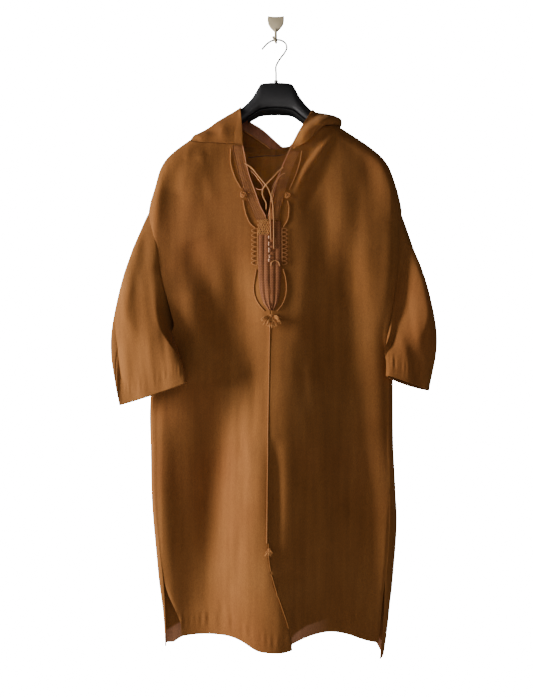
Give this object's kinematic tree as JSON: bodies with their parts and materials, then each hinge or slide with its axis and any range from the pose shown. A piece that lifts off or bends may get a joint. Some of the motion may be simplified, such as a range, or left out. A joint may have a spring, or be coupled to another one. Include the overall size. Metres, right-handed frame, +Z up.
{
  "type": "hooded wool djellaba robe on a hanger and a wall hook",
  "caption": "Long hooded wool robe with wide sleeves, a braid-trimmed neck slit and laces, hanging flat on a plastic hanger from a wall hook.",
  "frame": {"origin": "middle of the wall hook plate's flat back, on the wall", "axes": "+Z up, +Y into the wall, +X to the right of someone who looks at the robe's front"},
  "size_m": [0.7163, 0.1557, 1.4347],
  "materials": {
    "wool": "napped plain wool",
    "braid": "ribbed braid",
    "cord": "twisted thread",
    "hanger_plastic": "satin",
    "hook_steel": "plated",
    "hook_plastic": "smooth"
  },
  "bodies": {
    "root": {"front_left": "wool", "front_right": "wool", "back": "wool", "sleeve_left": "wool", "sleeve_right": "wool", "hood_left": "wool", "hood_right": "wool", "slit_band_left": "braid", "slit_band_right": "braid", "braid_panel": "braid", "rim_band_left": "braid", "rim_band_right": "braid", "loop_ladder_left": "braid", "loop_ladder_right": "braid", "outline_cord_upper_left": "cord", "outline_cord_middle_left": "cord", "outline_cord_lower_left": "cord", "outline_cord_upper_right": "cord", "outline_cord_middle_right": "cord", "outline_cord_lower_right": "cord", "knot_left": "cord", "knot_right": "cord", "panel_tassel": "cord", "seam_tassel": "cord", "lace_long": "cord", "lace_short": "cord", "lace_right": "cord", "hanger": "hanger_plastic", "steel_hook": "hook_steel", "wall_hook": "hook_plastic"}
  },
  "joints": []
}
